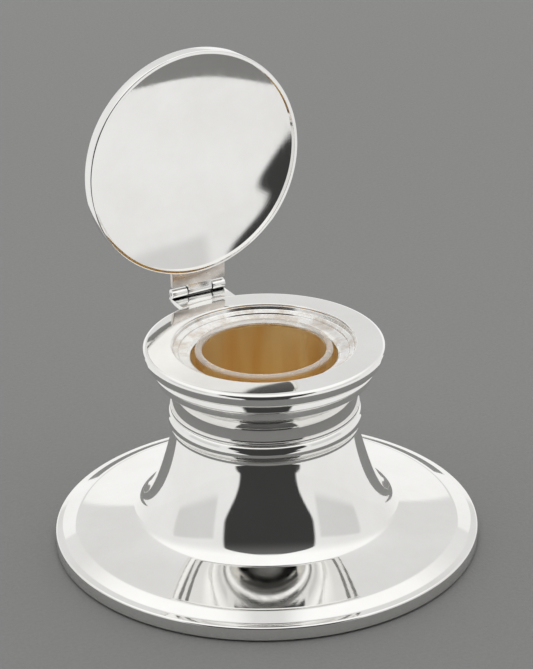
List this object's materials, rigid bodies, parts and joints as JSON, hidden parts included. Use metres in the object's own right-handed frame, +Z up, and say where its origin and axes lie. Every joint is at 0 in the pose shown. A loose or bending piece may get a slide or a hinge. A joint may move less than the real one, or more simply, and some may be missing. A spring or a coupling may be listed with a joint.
{
  "type": "inkwell",
  "caption": "Capstan inkwell with a wide weighted foot, waisted neck, flat rim, lift-out glass pot in a gilt well and a round hinged lid standing open.",
  "frame": {"origin": "centre of the felt's lower face, where the inkwell stands", "axes": "+Z up along the axis of the body, +Y towards the hinge, +X along the hinge pin"},
  "size_m": [0.127, 0.127, 0.1411],
  "materials": {
    "silver": "hand-polished silver with fine wiping scratches",
    "tarnished_silver": "silver with a thin warm tarnish",
    "gilt": "gilded, with fine turning lines",
    "pin": "drawn wire",
    "glass": "clear, with a polished rounded rim",
    "plaster": "cast filling, not seen",
    "wood": "turned board, not seen",
    "felt": "dark green baize"
  },
  "bodies": {
    "base": {"felt_pad": "felt", "base_board": "wood", "loading_fill": "plaster", "foot_band": "silver", "body_shell": "silver", "neck_bead": "silver", "neck_collar": "silver", "rim_plate": "silver", "seat_ring": "silver", "gilt_well": "gilt", "body_hinge_plate": "silver", "body_knuckle_left": "silver", "body_knuckle_right": "silver", "hinge_pin": "pin"},
    "lid": {"lid_rim_wire": "silver", "lid_lining": "silver", "lid_dome": "silver", "lid_hinge_plate": "tarnished_silver", "lid_knuckle": "silver"},
    "liner": {"glass_liner": "glass"}
  },
  "joints": [
    {"name": "lid_hinge", "type": "hinge", "parent": "base", "child": "lid", "pos_m": [0, 0.0409, 0.0652], "axis": [1, 0, 0], "range_deg": [0, 90]},
    {"name": "liner_lift", "type": "slide", "parent": "base", "child": "liner", "axis": [0, 0, 1], "range_m": [0, 0.003]}
  ]
}
